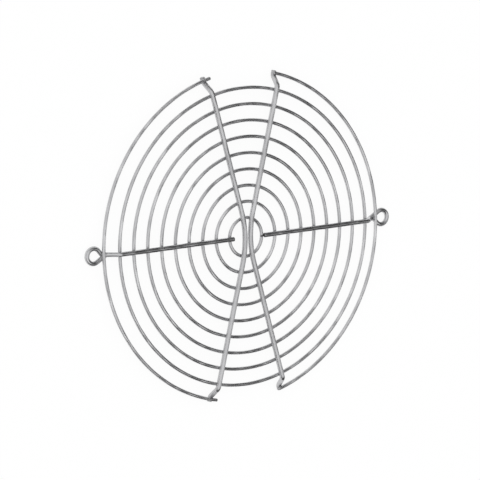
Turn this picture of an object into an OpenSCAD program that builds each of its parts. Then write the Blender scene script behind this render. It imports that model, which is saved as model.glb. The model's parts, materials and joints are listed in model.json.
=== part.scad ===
// Round wire fan guard: concentric rings and two outer arcs, welded to a pair of
// back-to-back bow wires and to two spokes that end in screw eyes.
// The guard lies on its mounting plane, Z points out of its face, X runs through both eyes.

/* [Mounting] */
// Distance between the centres of the two screw eyes
hole_spacing = 162; // [150:1:180]
// Bore of each eye, measured across the round wire
eye_hole_d = 4.6; // [4.2:0.1:6]
// Depth from the mounting plane to the top of the bow wires
guard_depth = 7.3; // [6:0.1:9]

/* [Wire] */
// Diameter of the ring and arc wire
ring_wire_d = 1.6; // [1.2:0.1:1.8]
// Diameter of the two bow wires
bow_wire_d = 2.4; // [1.8:0.1:2.8]
// Diameter of the two spoke wires
spoke_wire_d = 2.2; // [1.7:0.1:2.4]
// How far two crossing wires sink into each other at a weld
weld_set = 0.3; // [0.1:0.05:0.5]

/* [Rings] */
// Number of closed rings
ring_count = 9; // [6:1:10]
// Centreline radius of the hub ring
hub_ring_r = 9; // [7:0.5:12]

/* [Bow wires] */
// Clear gap between the two bow wires at the centre
bow_gap = 0.2; // [0.1:0.05:1.5]
// Lean of each bow leg away from the Y axis
bow_lean = 15; // [10:1:20]
// Centreline radius of the bend in the middle of a bow
bow_bend_r = 46; // [20:1:60]
// Length of each bow foot beyond the outer edge of the arc
foot_past = 0.4; // [0:0.1:2]

/* [Steps] */
// Centreline radius of the two bends in each step of a bow
bow_step_bend_r = 2.4; // [1.8:0.1:3]
// Centreline radius of the two bends in the step of a spoke
spoke_step_bend_r = 1.8; // [1.5:0.1:2.2]
// Straight wire left on each side of a weld before a bend starts
weld_margin = 0.1; // [0.05:0.05:0.3]
// How much thicker the wire stands where it is bent
bend_swell = 0.02; // [0.01:0.01:0.05]

/* [Outer arcs] */
// How far the ends of the left arc reach past the bow feet
left_arc_past = 1.5; // [0:0.1:4]
// How far the ends of the right arc reach past the bow feet
right_arc_past = 0; // [0:0.1:4]

/* [Eyes and spokes] */
// From the centreline of the outer arc to the edge of the eye's bore
neck_len = 2.2; // [1.8:0.1:4]
// Straight wire between the step and the bend that leads into the eye
neck_lead = 0.2; // [0.1:0.1:0.5]
// Centreline radius of the bend that leads into the eye
neck_bend_r = 1.5; // [1.3:0.1:2]
// Slope of the eye's cut tail towards the spoke
tail_slope = 30; // [25:1:40]
// Straight length of the left eye's cut tail
left_tail_len = 6; // [4:0.5:9]
// Straight length of the right eye's cut tail
right_tail_len = 8; // [4:0.5:9]
// Radius at which the left spoke starts, inside the hub ring
left_spoke_start = 7.6; // [6.5:0.1:8.5]
// How far the right spoke's end stops past the centreline of the hub ring
right_spoke_offset = 0.3; // [-0.5:0.1:0.5]

/* [Hidden] */
wire_fn = 48;
ring_fn = 144;
bend_lap = 0.1; // straight wire carried on inside the thicker bend next to it
plate = [0.74, 0.75, 0.76];
plate_dark = [0.66, 0.67, 0.69];

ring_wire_r = ring_wire_d / 2;
bow_wire_r = bow_wire_d / 2;
eye_bend_r = (eye_hole_d + spoke_wire_d + bend_swell) / 2;
hole_x = hole_spacing / 2;

// Plan: the arcs follow from the eyes, and the rings share the space inside them evenly.
outer_arc_r = hole_x - eye_hole_d / 2 - neck_len;
ring_pitch = (outer_arc_r - hub_ring_r) / ring_count;
last_ring_r = outer_arc_r - ring_pitch;
function ring_r(n) = hub_ring_r + (n - 1) * ring_pitch;

// Levels of the wire centrelines above the mounting plane.
function seat(d) = (d + ring_wire_d) / 2 - weld_set;
arc_z = max(bow_wire_d, spoke_wire_d) + ring_wire_r - weld_set;
bow_foot_z = arc_z - seat(bow_wire_d);
neck_z = arc_z - seat(spoke_wire_d);
bow_z = guard_depth - bow_wire_r;
ring_z = bow_z - seat(bow_wire_d);
spoke_z = ring_z + seat(spoke_wire_d);

// A step drops a wire from the face to the mounting level between the last ring and the arc.
// A spoke's step ends short of the arc, and a bow's lower bend runs out right under it.
step_start_r = last_ring_r + ring_wire_r + weld_margin;
spoke_step_end = outer_arc_r - ring_wire_r - weld_margin;
function step_slope(r, run, drop) = asin(2 * r / norm([run, 2 * r - drop])) - atan2(2 * r - drop, run);
function step_straight(r, run, drop) = sqrt(run * run + drop * drop - 4 * r * drop);

// Bow leg: a straight line that passes leg_miss from the axis, measured along itself.
bow_x = bow_wire_r + bow_gap / 2;
leg_miss = bow_bend_r - (bow_bend_r + bow_x) * cos(bow_lean);
leg_start = (bow_bend_r + bow_x) * sin(bow_lean);
function along_leg(r) = sqrt(r * r - leg_miss * leg_miss);
leg_step_start = along_leg(step_start_r);
leg_step_end = along_leg(outer_arc_r);
foot_end = along_leg(outer_arc_r + ring_wire_r + foot_past);
foot_angle = 90 - bow_lean + asin(leg_miss / outer_arc_r);

// Neck of the eye: a bend off the spoke's line, then a straight that meets the loop tangentially.
neck_run = hole_x - spoke_step_end - neck_lead;
neck_span = norm([neck_run, neck_bend_r]);
neck_angle = asin((eye_bend_r + neck_bend_r) / neck_span) - atan2(neck_bend_r, neck_run);
neck_straight = sqrt(pow(neck_span, 2) - pow(eye_bend_r + neck_bend_r, 2));

// Straight wire along +X.
module wire_straight(d, start, end) {
    translate([start, 0, 0])
        rotate([0, 90, 0])
            cylinder(d = d, h = end - start, $fn = wire_fn);
}

// Part of a turn of round wire, which starts along +X and bends towards +Y.
module wire_bend(d, r, angle) {
    translate([0, r, 0])
        rotate([0, 0, -90])
            rotate_extrude(angle = angle, $fn = ring_fn)
                translate([r, 0])
                    circle(d = d + bend_swell, $fn = wire_fn);
}

// A wire formed along +X by a list of moves: [feed, bend radius, bend angle, turn of the bend plane].
// It starts lead before the origin, and its last move only feeds.
module formed_wire(d, moves, lead = 0, i = 0) {
    feed = moves[i][0];
    if (i == len(moves) - 1) {
        wire_straight(d, -lead, feed);
    } else {
        r = moves[i][1];
        angle = moves[i][2];
        plane = moves[i][3];
        wire_straight(d, -lead, feed + bend_lap);
        translate([feed, 0, 0])
            rotate([plane, 0, 0]) {
                wire_bend(d, r, angle);
                translate([0, r, 0])
                    rotate([0, 0, angle])
                        translate([0, -r, 0])
                            rotate([-plane, 0, 0])
                                formed_wire(d, moves, bend_lap, i + 1);
            }
    }
}

// The two moves of a step down, after a given feed.
function step_moves(feed, r, run, drop) = [
    [feed, r, step_slope(r, run, drop), -90],
    [step_straight(r, run, drop), r, step_slope(r, run, drop), 90]
];

// One leg of a bow, from the end of its middle bend, upwards and leaning towards -X.
module bow_leg() {
    moves = concat(
        step_moves(leg_step_start - leg_start, bow_step_bend_r,
                   leg_step_end - leg_step_start, bow_z - bow_foot_z),
        [[foot_end - leg_step_end]]
    );
    rotate([0, 0, bow_lean])
        translate([bow_bend_r, 0, 0])
            rotate([0, 0, 90])
                formed_wire(bow_wire_d, moves, bend_lap);
}

module bow_wire_left() {
    color(plate)
        translate([-bow_x - bow_bend_r, 0, bow_z]) {
            bow_leg();
            mirror([0, 1, 0])
                bow_leg();
            rotate([0, 0, 90 - bow_lean])
                translate([0, -bow_bend_r, 0])
                    wire_bend(bow_wire_d, bow_bend_r, 2 * bow_lean);
        }
}

module bow_wire_right() {
    rotate([0, 0, 180])
        bow_wire_left();
}

// A spoke along +X: step, neck, loop round the screw and cut tail beside the neck.
module eye_spoke(start, tail_len) {
    moves = concat(
        step_moves(step_start_r - start, spoke_step_bend_r,
                   spoke_step_end - step_start_r, spoke_z - neck_z),
        [[neck_lead, neck_bend_r, neck_angle, 180],
         [neck_straight, eye_bend_r, 180 + tail_slope + neck_angle, 0],
         [tail_len]]
    );
    color(plate)
        translate([start, 0, spoke_z])
            formed_wire(spoke_wire_d, moves);
}

module eye_spoke_left() {
    rotate([0, 0, 180])
        eye_spoke(left_spoke_start, left_tail_len);
}

module eye_spoke_right() {
    eye_spoke(hub_ring_r + right_spoke_offset, right_tail_len);
}

module supports() {
    bow_wire_left();
    bow_wire_right();
    eye_spoke_left();
    eye_spoke_right();
}

// A closed ring, saddled where the supports cross over it.
module ring(n) {
    color(plate_dark)
        difference() {
            translate([0, 0, ring_z])
                rotate_extrude($fn = ring_fn)
                    translate([ring_r(n), 0])
                        circle(d = ring_wire_d, $fn = wire_fn);
            supports();
        }
}

// An outer arc along +X, saddled where it lies on the feet and the neck.
module outer_arc(past) {
    half_angle = foot_angle + asin((bow_wire_r + past) / outer_arc_r);
    translate([0, 0, arc_z])
        rotate([0, 0, -half_angle])
            rotate_extrude(angle = 2 * half_angle, $fn = ring_fn)
                translate([outer_arc_r, 0])
                    circle(d = ring_wire_d, $fn = wire_fn);
}

module outer_arc_left() {
    color(plate_dark)
        difference() {
            rotate([0, 0, 180])
                outer_arc(left_arc_past);
            supports();
        }
}

module outer_arc_right() {
    color(plate_dark)
        difference() {
            outer_arc(right_arc_past);
            supports();
        }
}

for (n = [1:ring_count]) ring(n);
outer_arc_left();
outer_arc_right();
bow_wire_left();
bow_wire_right();
eye_spoke_left();
eye_spoke_right();
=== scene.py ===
import json
import math

import bpy
from mathutils import Matrix, Vector, kdtree, noise


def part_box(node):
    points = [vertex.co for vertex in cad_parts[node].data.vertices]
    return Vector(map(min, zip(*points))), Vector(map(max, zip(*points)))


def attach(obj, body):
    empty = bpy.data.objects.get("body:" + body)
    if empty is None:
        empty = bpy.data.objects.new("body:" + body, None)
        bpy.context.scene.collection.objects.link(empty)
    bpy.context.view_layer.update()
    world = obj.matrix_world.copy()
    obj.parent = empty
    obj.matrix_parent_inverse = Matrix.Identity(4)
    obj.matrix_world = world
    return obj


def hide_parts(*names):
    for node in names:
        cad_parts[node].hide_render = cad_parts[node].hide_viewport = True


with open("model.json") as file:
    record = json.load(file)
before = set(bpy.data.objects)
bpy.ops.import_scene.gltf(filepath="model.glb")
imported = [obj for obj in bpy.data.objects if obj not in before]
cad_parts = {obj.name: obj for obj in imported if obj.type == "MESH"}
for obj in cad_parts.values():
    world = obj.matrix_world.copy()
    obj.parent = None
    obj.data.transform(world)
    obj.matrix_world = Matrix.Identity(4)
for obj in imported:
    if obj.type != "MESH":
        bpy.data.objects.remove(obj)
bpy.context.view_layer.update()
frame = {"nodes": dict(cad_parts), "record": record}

MM = 0.001
TURN = 2 * math.pi

# ------------------------------------------------------------------ sizes

# Wire radii and forming sizes that the frame's boxes don't give.
BOW_WIRE_R = 1.2 * MM
SPOKE_WIRE_R = 1.1 * MM
BOW_LEAN = math.radians(15)
BOW_BEND_R = 46 * MM
BOW_STEP_R = 2.4 * MM
SPOKE_STEP_R = 1.8 * MM
NECK_BEND_R = 1.5 * MM
NECK_LEAD = 0.2 * MM
EYE_BEND_R = 3.41 * MM
TAIL_SLOPE = math.radians(30)
LEFT_TAIL = 6 * MM
RIGHT_TAIL = 8 * MM
WELD_MARGIN = 0.1 * MM
# How much further out each bow stands than its solid, which opens the gap between the two.
BOW_APART = 0.25 * MM
# How much nearer the axis a spoke's step starts than in its solid, which makes it gentler.
STEP_SOFT = 0.8 * MM

RING_NAMES = sorted(name for name in frame["nodes"] if name.startswith("ring_"))
ARC_NAMES = ["outer_arc_left", "outer_arc_right"]


def ring_sizes(node):
    """Centreline radius, wire radius and level of a closed ring."""
    low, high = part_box(node)
    wire_r = (high.z - low.z) / 2
    return high.x - wire_r, wire_r, (high.z + low.z) / 2


LAST_RING_R, RING_WIRE_R, RING_Z = ring_sizes(RING_NAMES[-1])
arc_low, arc_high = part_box(ARC_NAMES[1])
ARC_R = arc_high.x - RING_WIRE_R
ARC_Z = arc_low.z + RING_WIRE_R
HOLE_X = max(mount["pos_m"][0] for mount in frame["record"]["mounts"])
STEP_START_R = LAST_RING_R + RING_WIRE_R + WELD_MARGIN
SPOKE_STEP_END = ARC_R - RING_WIRE_R - WELD_MARGIN

# ------------------------------------------------------------------ wire paths

# The longest pieces that a path is made of: straight, along a bend, and in angle.
STRAIGHT_PIECE = 1.5 * MM
BENT_PIECE = 1 * MM
BENT_ANGLE = math.radians(6)


def bend_matrix(radius, angle, plane):
    """From the start of a bend to a point on it.

    The wire runs along +X and turns towards +Y, and plane turns the whole bend about the wire.
    """
    pivot = Matrix.Translation((0, radius, 0))
    turned = pivot @ Matrix.Rotation(angle, 4, "Z") @ pivot.inverted()
    tilt = Matrix.Rotation(plane, 4, "X")
    return tilt @ turned @ tilt.inverted()


def feed_on(frames, feed):
    """Carries a wire's path straight on."""
    at = frames[-1]
    pieces = math.ceil(feed / STRAIGHT_PIECE)
    frames += [at @ Matrix.Translation((feed * i / pieces, 0, 0)) for i in range(1, pieces + 1)]


def bend_on(frames, radius, angle, plane):
    """Carries a wire's path round a bend."""
    at = frames[-1]
    pieces = math.ceil(max(angle / BENT_ANGLE, angle * radius / BENT_PIECE))
    frames += [at @ bend_matrix(radius, angle * i / pieces, plane) for i in range(1, pieces + 1)]


def step_down(frames, radius, run, drop):
    """Carries a wire's path down a step of two equal bends."""
    rise = 2 * radius - drop
    slope = math.asin(2 * radius / math.hypot(run, rise)) - math.atan2(rise, run)
    bend_on(frames, radius, slope, -TURN / 4)
    feed_on(frames, math.sqrt(run * run + drop * drop - 4 * radius * drop))
    bend_on(frames, radius, slope, TURN / 4)


def circle_path(radius, level, start, sweep):
    """Frames along a circular arc about the guard's axis."""
    pieces = math.ceil(sweep * radius / BENT_PIECE)
    return [
        Matrix.Rotation(start + sweep * i / pieces, 4, "Z")
        @ Matrix.Translation((radius, 0, level))
        @ Matrix.Rotation(TURN / 4, 4, "Z")
        for i in range(pieces + 1)
    ]


def arc_path(node):
    """An outer arc, from one end to the other, anticlockwise."""
    low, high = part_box(node)
    half_sweep = math.asin(high.y / (ARC_R + RING_WIRE_R))
    middle = 0 if high.x > 0 else TURN / 2
    return circle_path(ARC_R, ARC_Z, middle - half_sweep, 2 * half_sweep)


def half_bow(node, side, way):
    """Half a bow, from its middle to a foot.

    Side is -1 for the left bow, and way is -1 for the lower half.
    """
    low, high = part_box(node)
    top_z = high.z - BOW_WIRE_R
    inner_x = min(abs(low.x), abs(high.x)) + BOW_WIRE_R + BOW_APART
    miss = BOW_BEND_R - (BOW_BEND_R + inner_x) * math.cos(BOW_LEAN)
    leg_start = (BOW_BEND_R + inner_x) * math.sin(BOW_LEAN)
    step_start, step_end = (math.sqrt(r * r - miss * miss) for r in (STEP_START_R, ARC_R))
    heading = Matrix.Rotation(way * TURN / 4, 4, "Z")
    frames = [Matrix.Translation((side * inner_x, 0, top_z)) @ heading]
    bend_on(frames, BOW_BEND_R, BOW_LEAN, 0 if side * way < 0 else TURN / 2)
    feed_on(frames, step_start - leg_start)
    step_down(frames, BOW_STEP_R, step_end - step_start, top_z - low.z - BOW_WIRE_R)
    foot_y = abs(frames[-1].translation.y)
    feed_on(frames, (high.y - BOW_WIRE_R * math.sin(BOW_LEAN) - foot_y) / math.cos(BOW_LEAN))
    return frames


def bow_path(node, side):
    """A whole bow, from its lower foot to its upper foot."""
    turn_back = Matrix.Rotation(TURN / 2, 4, "Z")
    lower = [at @ turn_back for at in reversed(half_bow(node, side, -1))]
    return lower[:-1] + half_bow(node, side, 1)


def spoke_path(node, side):
    """A spoke, from its inner end through its step and neck, round its eye and along its cut tail."""
    low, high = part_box(node)
    start = min(abs(low.x), abs(high.x))
    top_z = high.z - SPOKE_WIRE_R
    drop = top_z - low.z - SPOKE_WIRE_R
    heading = Matrix.Rotation(0 if side > 0 else TURN / 2, 4, "Z")
    frames = [Matrix.Translation((side * start, 0, top_z)) @ heading]
    feed_on(frames, STEP_START_R - STEP_SOFT - start)
    step_down(frames, SPOKE_STEP_R, SPOKE_STEP_END - STEP_START_R + STEP_SOFT, drop)
    feed_on(frames, NECK_LEAD)
    run = HOLE_X - SPOKE_STEP_END - NECK_LEAD
    span = math.hypot(run, NECK_BEND_R)
    neck_angle = math.asin((EYE_BEND_R + NECK_BEND_R) / span) - math.atan2(NECK_BEND_R, run)
    bend_on(frames, NECK_BEND_R, neck_angle, TURN / 2)
    feed_on(frames, math.sqrt(span**2 - (EYE_BEND_R + NECK_BEND_R) ** 2))
    bend_on(frames, EYE_BEND_R, TURN / 2 + TAIL_SLOPE + neck_angle, 0)
    feed_on(frames, LEFT_TAIL if side < 0 else RIGHT_TAIL)
    return frames


# ------------------------------------------------------------------ wire meshes

SIDES = 20
END_ROUND = 0.35 * MM
# Keeps the rounding of a cut end from shading the face and the wire next to it.
END_FLAT = 0.05 * MM
# How far the wire strays from its line, and over what length.
WAVER = 0.04 * MM
WAVER_LENGTH = 22 * MM
# Gives every build the same waver.
noise.seed_set(7)


def make_piece(name, points, faces, attributes):
    """A smooth piece of the guard, with one number or one vector for each of its points."""
    mesh = bpy.data.meshes.new(name)
    mesh.from_pydata(points, [], faces)
    for key, values in attributes.items():
        is_vector = len(values) == 3 * len(points)
        layer = mesh.attributes.new(key, "FLOAT_VECTOR" if is_vector else "FLOAT", "POINT")
        layer.data.foreach_set("vector" if is_vector else "value", values)
    mesh.shade_smooth()
    piece = bpy.data.objects.new(name, mesh)
    bpy.context.scene.collection.objects.link(piece)
    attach(piece, "root")
    return piece


def end_stations(at, way, radius):
    """Stations at a cut end, from its face inwards: (frame, radius, how far it belongs to the cut face)."""
    profile = [(0, radius - END_ROUND - END_FLAT, 1)]
    for turn in (0, TURN / 12, TURN / 6, TURN / 4):
        inset = END_ROUND * (1 - math.cos(turn))
        narrower = END_ROUND * (1 - math.sin(turn))
        profile.append((inset, radius - narrower, math.cos(turn)))
    profile.append((END_ROUND + END_FLAT, radius, 0))
    return [(at @ Matrix.Translation((way * inset, 0, 0)), r, is_cut) for inset, r, is_cut in profile]


def wire_piece(name, path, radius, closed=False):
    """A round wire swept along its path. A closed wire has no ends, and an open one has cut ends.

    Each point keeps its place on the straightened wire, the way round the wire, and how far it
    belongs to a cut face.
    """
    if closed:
        stations = [(at, radius, 0) for at in path[:-1]]
    else:
        stations = end_stations(path[0], 1, radius)
        stations += [(at, radius, 0) for at in path[1:-1]]
        stations += reversed(end_stations(path[-1], -1, radius))
    points, straightened, around, cut = [], [], [], []
    along = 0
    before = stations[0][0].translation
    for at, r, is_cut in stations:
        place = at.translation
        along += (place - before).length
        before = place
        wobble = noise.noise_vector(place / WAVER_LENGTH + Vector((radius / MM, 0, 0))) * WAVER
        for k in range(SIDES):
            y = r * math.cos(TURN * k / SIDES)
            z = r * math.sin(TURN * k / SIDES)
            points.append(at @ Vector((0, y, z)) + wobble)
            straightened += (along, y, z)
            around.extend(at.to_3x3() @ Vector((0, -z, y)).normalized())
            cut.append(is_cut)
    count = len(stations)
    faces = []
    for i in range(count if closed else count - 1):
        a = i * SIDES
        b = (i + 1) % count * SIDES
        faces += [(a + k, b + k, b + (k + 1) % SIDES, a + (k + 1) % SIDES) for k in range(SIDES)]
    if not closed:
        faces.append(tuple(range(SIDES)))
        faces.append(tuple((count - 1) * SIDES + k for k in reversed(range(SIDES))))
    attributes = {"straightened": straightened, "around": around, "cut": cut}
    return make_piece(name, points, [face[::-1] for face in faces], attributes)


# ------------------------------------------------------------------ the wires

bows = {"bow_wire_left": -1, "bow_wire_right": 1}
spokes = {"eye_spoke_left": -1, "eye_spoke_right": 1}
paths = {name: circle_path(ring_sizes(name)[0], RING_Z, 0, TURN) for name in RING_NAMES}
paths |= {name: arc_path(name) for name in ARC_NAMES}
paths |= {name: bow_path(name, side) for name, side in bows.items()}
paths |= {name: spoke_path(name, side) for name, side in spokes.items()}


def wire_radius(name):
    """Radius of the wire that a piece is made of."""
    if name in bows:
        return BOW_WIRE_R
    return SPOKE_WIRE_R if name in spokes else RING_WIRE_R


wires = {}
for name, path in paths.items():
    piece = wire_piece(name + "_wire", path, wire_radius(name), closed=name in RING_NAMES)
    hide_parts(name)
    wires[name] = piece

# ------------------------------------------------------------------ welds

BEAD_SIDES = 8
BEAD_STEPS = 28
BEAD_R = 0.13 * MM
# How unevenly thick a bead is, and how often that changes round it.
BEAD_SWELL = 0.4
BEAD_LUMPS = 3
# Sets the lumps of one bead apart from those of the next.
BEAD_SHIFT = 1.7
# Halvings that find how far the two wires of a weld touch.
HALVINGS = 24


def crossings(path, radius):
    """Where a wire's path crosses a circle of that radius: its place and heading there."""
    found = []
    for a, b in zip(path, path[1:]):
        ra = a.translation.xy.length
        rb = b.translation.xy.length
        if (ra - radius) * (rb - radius) <= 0 and ra != rb:
            share = (radius - ra) / (rb - ra)
            found.append((a.translation.lerp(b.translation, share), a.to_3x3() @ Vector((1, 0, 0))))
    return found


def wire_height(offset, heading, radius):
    """Height of a lying wire's surface above its centreline, at an offset in plan."""
    return math.sqrt(max(0, radius**2 - offset.cross(heading) ** 2))


def weld_loop(place, heading, level, thick_r, seed):
    """A bead round the patch where a ring or arc at that level meets a thicker wire that crosses it."""
    thin_way = Vector((-place.y, place.x)).normalized()
    thick_way = heading.xy.normalized()
    apart = abs(place.z - level)
    rise = 1 if place.z > level else -1
    loop = []
    for i in range(BEAD_STEPS):
        way = Vector((math.cos(TURN * i / BEAD_STEPS), math.sin(TURN * i / BEAD_STEPS)))
        near = 0
        far = thick_r
        for _ in range(HALVINGS):
            reach = (near + far) / 2
            thin_top = wire_height(way * reach, thin_way, RING_WIRE_R)
            thick_top = wire_height(way * reach, thick_way, thick_r)
            near, far = (reach, far) if thin_top + thick_top > apart else (near, reach)
        offset = way * near
        height = rise * wire_height(offset, thin_way, RING_WIRE_R)
        spot = Vector((place.x + offset.x, place.y + offset.y, level + height))
        lumps = Vector((BEAD_LUMPS * way.x, BEAD_LUMPS * way.y, seed * BEAD_SHIFT))
        loop.append((spot, way, BEAD_R * (1 + BEAD_SWELL * noise.noise(lumps))))
    return loop


def bead_mesh(loops):
    """One piece of all the weld beads, each a thin closed roll of squeezed-out metal."""
    points, faces, coords = [], [], []
    for loop in loops:
        base = len(points)
        for spot, way, r in loop:
            for k in range(BEAD_SIDES):
                turn = TURN * k / BEAD_SIDES
                offset = Vector((way.x * math.cos(turn), way.y * math.cos(turn), math.sin(turn))) * r
                points.append(spot + offset)
                coords.extend(spot + offset)
        for i in range(BEAD_STEPS):
            a = base + i * BEAD_SIDES
            b = base + (i + 1) % BEAD_STEPS * BEAD_SIDES
            for k in range(BEAD_SIDES):
                faces.append((a + k, b + k, b + (k + 1) % BEAD_SIDES, a + (k + 1) % BEAD_SIDES))
    return make_piece("weld_beads", points, faces, {"straightened": coords, "cut": [0.0] * len(points)})


circles = [(ring_sizes(name)[0], RING_Z) for name in RING_NAMES] + [(ARC_R, ARC_Z)]
weld_places, loops = [], []
for name in [*bows, *spokes]:
    for radius, level in circles:
        for place, heading in crossings(paths[name], radius):
            weld_places.append((place + Vector((place.x, place.y, level))) / 2)
            loops.append(weld_loop(place, heading, level, wire_radius(name), len(loops)))
beads = bead_mesh(loops)

# How far from a weld the plating is dulled by its heat and darkened by painted shade where the wires cross.
HEAT_AND_SHADE_REACH = 1.7 * MM
weld_tree = kdtree.KDTree(len(weld_places))
for i, place in enumerate(weld_places):
    weld_tree.insert(place, i)
weld_tree.balance()
for piece in [*wires.values(), beads]:
    heat_and_shade = [math.exp(-((weld_tree.find(v.co)[2] / HEAT_AND_SHADE_REACH) ** 2)) for v in piece.data.vertices]
    layer = piece.data.attributes.new("weld_heat_and_shade", "FLOAT", "POINT")
    layer.data.foreach_set("value", heat_and_shade)

# ------------------------------------------------------------------ effects

# Some sockets share a label and go by number. A Mix node mixes numbers 2 and 3, or colours 6 and 7.


def add(tree, kind, values=(), **settings):
    """A node with its settings and its socket values. A value may be another node's output."""
    node = tree.nodes.new("ShaderNode" + kind)
    for key, value in settings.items():
        setattr(node, key, value)
    for key, value in dict(values).items():
        if isinstance(value, bpy.types.NodeSocket):
            tree.links.new(value, node.inputs[key])
        else:
            node.inputs[key].default_value = value
    return node


def wire_noise(name, size, output, shrink, detail, roughness=0.5):
    """A group of noise in spots of a given size, drawn out along the straightened wire."""
    group = bpy.data.node_groups.new(name, "ShaderNodeTree")
    group.interface.new_socket("Straightened", in_out="INPUT", socket_type="NodeSocketVector")
    group.interface.new_socket(size, in_out="INPUT", socket_type="NodeSocketFloat")
    group.interface.new_socket(output, in_out="OUTPUT", socket_type="NodeSocketFloat")
    inside = group.nodes.new("NodeGroupInput")
    outside = group.nodes.new("NodeGroupOutput")
    place = inside.outputs["Straightened"]
    stretched = add(group, "VectorMath", {0: place, 1: (shrink, 1, 1)}, operation="MULTIPLY").outputs[0]
    scale = add(group, "Math", {0: 1, 1: inside.outputs[size]}, operation="DIVIDE").outputs[0]
    settings = {"Vector": stretched, "Scale": scale, "Detail": detail, "Roughness": roughness}
    spots = add(group, "TexNoise", settings)
    group.links.new(spots.outputs["Fac"], outside.inputs[output])
    return group


# Fine lines along the wire, left by the drawing die.
DRAWN_LINES = wire_noise("drawn lines", "Spacing", "Lines", shrink=0.03, detail=3, roughness=0.6)
# Soft uneven patches of the plating.
CLOUD = wire_noise("plating cloud", "Size", "Cloud", shrink=0.45, detail=2)
# Shallow dents and flats, left where the wire was straightened and bent.
RIPPLE = wire_noise("ripple", "Length", "Ripple", shrink=0.5, detail=0)

# ------------------------------------------------------------------ plating

CLOUD_SIZE = 5 * MM
CLOUD_LOW = 0.3
CLOUD_HIGH = 0.7
DENT_LENGTH = 3.2 * MM
LINE_DEPTH = 0.01 * MM
LINE_STRENGTH = 0.3
# Shade of the plating round a weld, partly its heat tint and partly painted shade where the wires cross,
# and how much rougher it is there and at cut ends.
HEAT_AND_PAINTED_SHADE = 0.92
DULLING = 0.06


def shaded(colour, shade):
    """A plating colour at a share of its brightness."""
    return (*(channel * shade for channel in colour), 1)


def plated_metal(name, bright, dull, smooth, rough, line_spacing, dent_depth, cut_tone_and_shade, drawn=0):
    """Nickel-chrome plating over drawn wire, duller round welds and at cut ends, and darker there: partly
    heat tint and bare sheared steel, partly painted shade.

    Bright and smooth belong to its clear patches, dull and rough to its cloudy ones. Drawn is how
    far the drawing lines spread a highlight round the wire.
    """
    material = bpy.data.materials.new(name)
    material.use_nodes = True
    tree = material.node_tree
    shader = tree.nodes["Principled BSDF"]
    shader.inputs["Metallic"].default_value = 1
    straightened = add(tree, "Attribute", attribute_name="straightened").outputs["Vector"]
    heat_and_shade = add(tree, "Attribute", attribute_name="weld_heat_and_shade").outputs["Fac"]
    cut = add(tree, "Attribute", attribute_name="cut").outputs["Fac"]

    cloud = add(tree, "Group", {"Straightened": straightened, "Size": CLOUD_SIZE}, node_tree=CLOUD)
    patches = {"Value": cloud.outputs["Cloud"], "From Min": CLOUD_LOW, "From Max": CLOUD_HIGH}
    clear = add(tree, "MapRange", patches).outputs[0]
    plating = add(tree, "Mix", {"Factor": clear, 6: (*dull, 1), 7: (*bright, 1)}, data_type="RGBA")
    # Painted shade: the plating darkens towards each weld, partly heat tint and partly painted shade where
    # the wires cross.
    heated_and_shaded_colour = shaded(dull, HEAT_AND_PAINTED_SHADE)
    heated_and_shaded = add(tree, "Mix", {"Factor": heat_and_shade, 6: plating.outputs[2], 7: heated_and_shaded_colour}, data_type="RGBA")
    # Painted shade on the cut ends: partly the duller bare steel of a sheared end, and partly a darkness
    # set for each kind of wire against the light its end catches. It is deepest on the spokes, whose ends
    # would otherwise reflect the bright opening above.
    cut_and_shade_colour = shaded(dull, cut_tone_and_shade)
    sheared_and_shaded = add(tree, "Mix", {"Factor": cut, 6: heated_and_shaded.outputs[2], 7: cut_and_shade_colour}, data_type="RGBA")
    tree.links.new(sheared_and_shaded.outputs[2], shader.inputs["Base Color"])

    gloss = add(tree, "MapRange", patches | {"To Min": rough, "To Max": smooth}).outputs[0]
    dulled = add(tree, "Math", {0: heat_and_shade, 1: cut}, operation="MAXIMUM").outputs[0]
    roughness = add(tree, "Mix", {"Factor": dulled, 2: gloss, 3: rough + DULLING}, data_type="FLOAT")
    tree.links.new(roughness.outputs[0], shader.inputs["Roughness"])
    if drawn:
        shader.inputs["Anisotropic"].default_value = drawn
        around = add(tree, "Attribute", attribute_name="around").outputs["Vector"]
        tree.links.new(around, shader.inputs["Tangent"])

    ripple = add(tree, "Group", {"Straightened": straightened, "Length": DENT_LENGTH}, node_tree=RIPPLE)
    dents = add(tree, "Bump", {"Height": ripple.outputs["Ripple"], "Distance": dent_depth})
    spaced = {"Straightened": straightened, "Spacing": line_spacing}
    lines = add(tree, "Group", spaced, node_tree=DRAWN_LINES)
    scored = add(
        tree,
        "Bump",
        {
            "Height": lines.outputs["Lines"],
            "Distance": LINE_DEPTH,
            "Strength": LINE_STRENGTH,
            "Normal": dents.outputs[0],
        },
    )
    tree.links.new(scored.outputs[0], shader.inputs["Normal"])
    return material


# The ring, bow and spoke platings are one nickel-chrome finish. Their colours differ to paint in the light
# and shade that falls on each kind of wire, and the bows are made lighter against the shade of the wires
# round them.
ring_plating = plated_metal(
    "ring plating",
    bright=(0.68, 0.68, 0.69),
    dull=(0.5, 0.5, 0.51),
    smooth=0.22,
    rough=0.36,
    line_spacing=0.25 * MM,
    dent_depth=0.9 * MM,
    cut_tone_and_shade=0.8,
    drawn=0.8,
)
bow_plating = plated_metal(
    "bow plating",
    bright=(0.61, 0.61, 0.62),
    dull=(0.54, 0.54, 0.55),
    smooth=0.24,
    rough=0.36,
    line_spacing=0.3 * MM,
    dent_depth=0.6 * MM,
    cut_tone_and_shade=0.85,
    drawn=0.8,
)
spoke_plating = plated_metal(
    "spoke plating",
    bright=(0.59, 0.59, 0.6),
    dull=(0.52, 0.52, 0.53),
    smooth=0.14,
    rough=0.24,
    line_spacing=0.3 * MM,
    dent_depth=0.65 * MM,
    cut_tone_and_shade=0.15,
    drawn=0.6,
)
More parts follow.
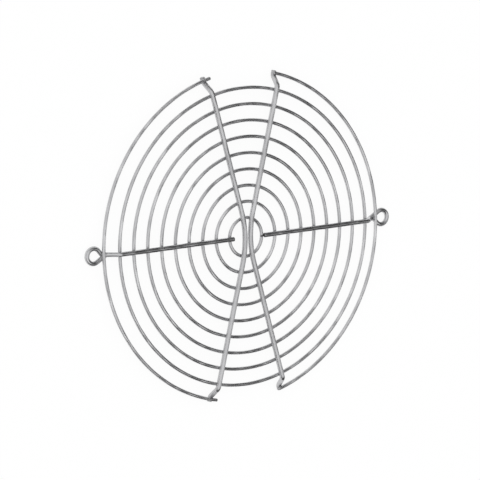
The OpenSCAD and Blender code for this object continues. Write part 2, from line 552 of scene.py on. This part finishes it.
weld_plating = plated_metal(
    "weld plating",
    bright=(0.6, 0.6, 0.6),
    dull=(0.5, 0.5, 0.5),
    smooth=0.25,
    rough=0.4,
    line_spacing=0.2 * MM,
    dent_depth=0.65 * MM,
    cut_tone_and_shade=0.45,
)

for name, piece in wires.items():
    if name in bows:
        material, slot = bow_plating, "bow_wire"
    elif name in spokes:
        material, slot = spoke_plating, "spoke_wire"
    else:
        material, slot = ring_plating, "ring_wire"
    piece.data.materials.append(material)
beads.data.materials.append(weld_plating)

# ------------------------------------------------------------------ floor and light

WORLD_LIGHT = 0.8
FLOOR_SIZE = 12
PAPER_WHITE = 0.98
# The share of the floor's own shading, and so of the guard's shadow, that shows.
FLOOR_SHADOW = 0.1


def direction(azimuth, elevation):
    """A unit vector, with azimuth from +X towards +Y and elevation above the floor, in degrees."""
    a, e = math.radians(azimuth), math.radians(elevation)
    return Vector((math.cos(a) * math.cos(e), math.sin(a) * math.cos(e), math.sin(e)))


LAMP_TOWARDS = direction(150, 55)
LAMP_WIDTH = math.radians(50)
# How bright the lamp lights a white floor that faces it.
LAMP_LEVEL = 0.25


def seen_directly(tree):
    """1 for what the camera, metal or glass shows, and 0 for the light that a surface scatters."""
    path = add(tree, "LightPath")
    camera_ray, glossy_ray = path.outputs["Is Camera Ray"], path.outputs["Is Glossy Ray"]
    total = add(tree, "Math", {0: camera_ray, 1: glossy_ray}, operation="ADD").outputs[0]
    glass_ray = path.outputs["Is Transmission Ray"]
    return add(tree, "Math", {0: total, 1: glass_ray}, operation="ADD", use_clamp=True).outputs[0]


def stage_sheet(name, points, faces):
    """A part of the studio, which isn't part of the guard."""
    mesh = bpy.data.meshes.new(name)
    mesh.from_pydata(points, [], faces)
    mesh.shade_smooth()
    sheet = bpy.data.objects.new(name, mesh)
    bpy.context.scene.collection.objects.link(sheet)
    return sheet


def bare_material(name):
    """A material with no nodes yet, and its node tree."""
    material = bpy.data.materials.new(name)
    material.use_nodes = True
    material.node_tree.nodes.clear()
    return material, material.node_tree


def surface_mix(tree, factor, first, second):
    """Ends a material in a mix of two shaders."""
    mixed = add(tree, "MixShader", {0: factor, 1: first.outputs[0], 2: second.outputs[0]})
    surface = add(tree, "OutputMaterial")
    tree.links.new(mixed.outputs[0], surface.inputs["Surface"])


world = bpy.data.worlds.new("studio")
bpy.context.scene.world = world
world.use_nodes = True
tree = world.node_tree
lighting = tree.nodes["Background"]
lighting.inputs["Color"].default_value = (1, 1, 1, 1)
lighting.inputs["Strength"].default_value = WORLD_LIGHT
white = add(tree, "Background", {"Color": (1, 1, 1, 1), "Strength": 1})
mixed = add(tree, "MixShader", {0: seen_directly(tree), 1: lighting.outputs[0], 2: white.outputs[0]})
tree.links.new(mixed.outputs[0], tree.nodes["World Output"].inputs["Surface"])

half = FLOOR_SIZE / 2
floor_corners = [(-half, -half, 0), (half, -half, 0), (half, half, 0), (-half, half, 0)]
floor = stage_sheet("floor", floor_corners, [(0, 1, 2, 3)])
paper, tree = bare_material("white paper")
matt = add(tree, "BsdfDiffuse", {"Color": (PAPER_WHITE, PAPER_WHITE, PAPER_WHITE, 1)})
glow = add(tree, "Emission", {"Color": (1, 1, 1, 1), "Strength": 1})
share = add(tree, "Math", {0: seen_directly(tree), 1: 1 - FLOOR_SHADOW}, operation="MULTIPLY")
surface_mix(tree, share.outputs[0], matt, glow)
floor.data.materials.append(paper)

lamp = bpy.data.lights.new("soft lamp", "SUN")
lamp.energy = LAMP_LEVEL * math.pi
lamp.angle = LAMP_WIDTH
lamp_holder = bpy.data.objects.new("soft lamp", lamp)
lamp_holder.rotation_mode = "QUATERNION"
lamp_holder.rotation_quaternion = LAMP_TOWARDS.to_track_quat("Z", "Y")
lamp_holder.visible_glossy = False
bpy.context.scene.collection.objects.link(lamp_holder)

# ------------------------------------------------------------------ drape

DRAPE_R = 2.5
DRAPE_ROWS = 24
DRAPE_COLUMNS = 64
DRAPE_GREY = 0.04
# The opening overhead, with the cosines of the angles at which it starts and is fully open.
OPEN_TOWARDS = direction(150, 67)
OPEN_FROM = 0.305
OPEN_FULLY = 0.655
# A small gap low at one side.
GAP_TOWARDS = direction(-17.5, 31)
GAP_SPREAD = math.radians(18.5)
# Where each dark screen hangs in the opening, how far it spreads and how much light it holds back.
SCREENS = [
    (direction(66, 34), math.radians(48), 0.5),
    (direction(20, 54), math.radians(24), 0.98),
]


def round_patch(tree, out, towards, starts, full, at_start=0, at_full=1):
    """A value that changes softly from the rim of a round patch of the drape inwards.

    Starts and full are cosines of the angle from the middle of the patch.
    """
    facing = add(tree, "VectorMath", {0: out, 1: towards}, operation="DOT_PRODUCT").outputs["Value"]
    limits = {"From Min": starts, "From Max": full, "To Min": at_start, "To Max": at_full}
    return add(tree, "MapRange", {"Value": facing} | limits, interpolation_type="SMOOTHSTEP").outputs[0]


points = [
    direction(360 * c / DRAPE_COLUMNS, 90 * r / DRAPE_ROWS) * DRAPE_R
    for r in range(DRAPE_ROWS)
    for c in range(DRAPE_COLUMNS)
]
faces = []
for r in range(DRAPE_ROWS):
    for c in range(DRAPE_COLUMNS):
        a = r * DRAPE_COLUMNS + c
        b = r * DRAPE_COLUMNS + (c + 1) % DRAPE_COLUMNS
        if r < DRAPE_ROWS - 1:
            faces.append((a, b, b + DRAPE_COLUMNS, a + DRAPE_COLUMNS))
        else:
            faces.append((a, b, len(points)))
points.append(Vector((0, 0, DRAPE_R)))

# Only metal shows the drape.
drape = stage_sheet("drape", points, faces)
for ray in ("camera", "diffuse", "shadow", "transmission", "volume_scatter"):
    setattr(drape, "visible_" + ray, False)
cloth, tree = bare_material("grey drape")
place = add(tree, "TexCoord").outputs["Object"]
out = add(tree, "VectorMath", {0: place}, operation="NORMALIZE").outputs[0]
opening = round_patch(tree, out, OPEN_TOWARDS, OPEN_FROM, OPEN_FULLY)
gap = round_patch(tree, out, GAP_TOWARDS, math.cos(GAP_SPREAD), 1)
opening = add(tree, "Math", {0: opening, 1: gap}, operation="MAXIMUM").outputs[0]
for towards, spread, held in SCREENS:
    passed = round_patch(tree, out, towards, math.cos(spread), 1, at_start=1, at_full=1 - held)
    opening = add(tree, "Math", {0: opening, 1: passed}, operation="MULTIPLY").outputs[0]
grey = add(tree, "Emission", {"Color": (1, 1, 1, 1), "Strength": DRAPE_GREY})
clear = add(tree, "BsdfTransparent")
surface_mix(tree, opening, grey, clear)
drape.data.materials.append(cloth)

# ------------------------------------------------------------------ camera

VIEW_TURN = math.radians(35)
VIEW_LIFT = math.radians(9.6)
VIEW_ROLL = math.radians(-1.15)
VIEW_DISTANCE = 1.4325
VIEW_AIM = Vector((-2.21, -1.38, 2.99)) * MM
LENS = 233.6

back = Vector(
    (
        -math.sin(VIEW_TURN) * math.cos(VIEW_LIFT),
        math.sin(VIEW_LIFT),
        math.cos(VIEW_TURN) * math.cos(VIEW_LIFT),
    )
)
right = Vector((0, 1, 0)).cross(back).normalized()
up = back.cross(right)
upright = Matrix((right, up, back)).transposed()
turned = (upright @ Matrix.Rotation(VIEW_ROLL, 3, "Z")).to_4x4()
camera_data = bpy.data.cameras.new("camera")
camera_data.lens = LENS
camera_data.clip_start = 0.05
camera_data.clip_end = 50
camera = bpy.data.objects.new("camera", camera_data)
camera.matrix_world = Matrix.Translation(VIEW_AIM + back * VIEW_DISTANCE) @ turned
bpy.context.scene.collection.objects.link(camera)
bpy.context.scene.camera = camera
bpy.context.scene.view_settings.view_transform = "Standard"
